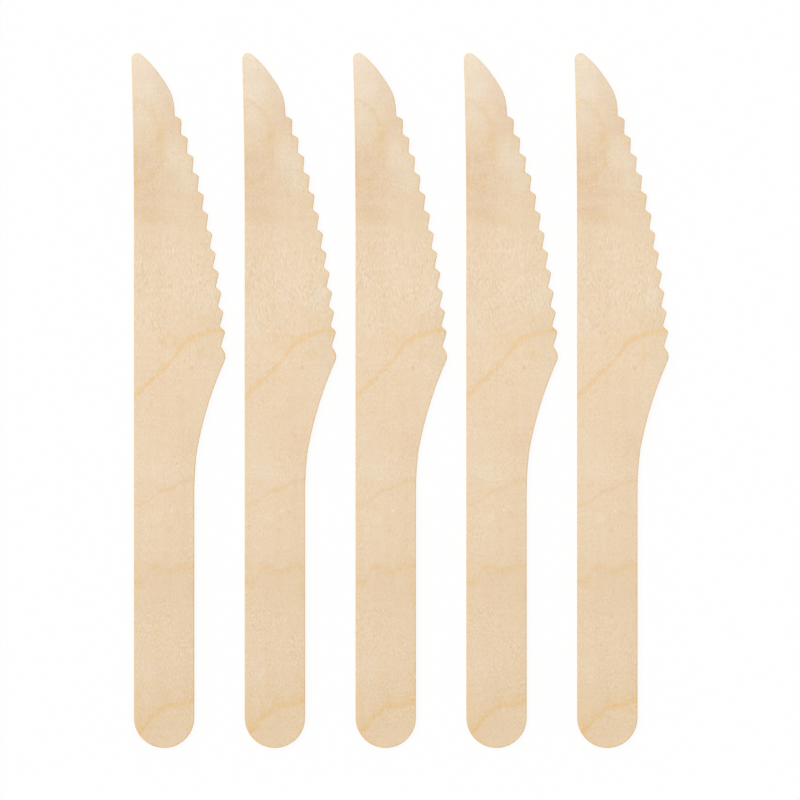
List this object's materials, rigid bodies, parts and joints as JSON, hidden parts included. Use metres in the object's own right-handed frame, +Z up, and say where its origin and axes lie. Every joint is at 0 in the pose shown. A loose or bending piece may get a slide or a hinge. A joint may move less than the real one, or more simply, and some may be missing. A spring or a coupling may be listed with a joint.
{
  "type": "wooden cutlery pack",
  "caption": "Flat die-cut birch table knives with scalloped teeth, a small round nose and a half-round butt, lying side by side in a row.",
  "frame": {"origin": "bottom centre of the box round the whole row, in the plane that the knives lie on", "axes": "+Y along the knives towards their points, +X across the row towards the toothed edges, +Z up, through the veneer"},
  "size_m": [0.1276, 0.165, 0.0016],
  "materials": {
    "birch": "smooth bare birch veneer, tumbled, with fine pores and faint growth lines"
  },
  "bodies": {
    "root": {"knife_1": "birch", "knife_2": "birch", "knife_3": "birch", "knife_4": "birch", "knife_5": "birch"}
  },
  "joints": []
}
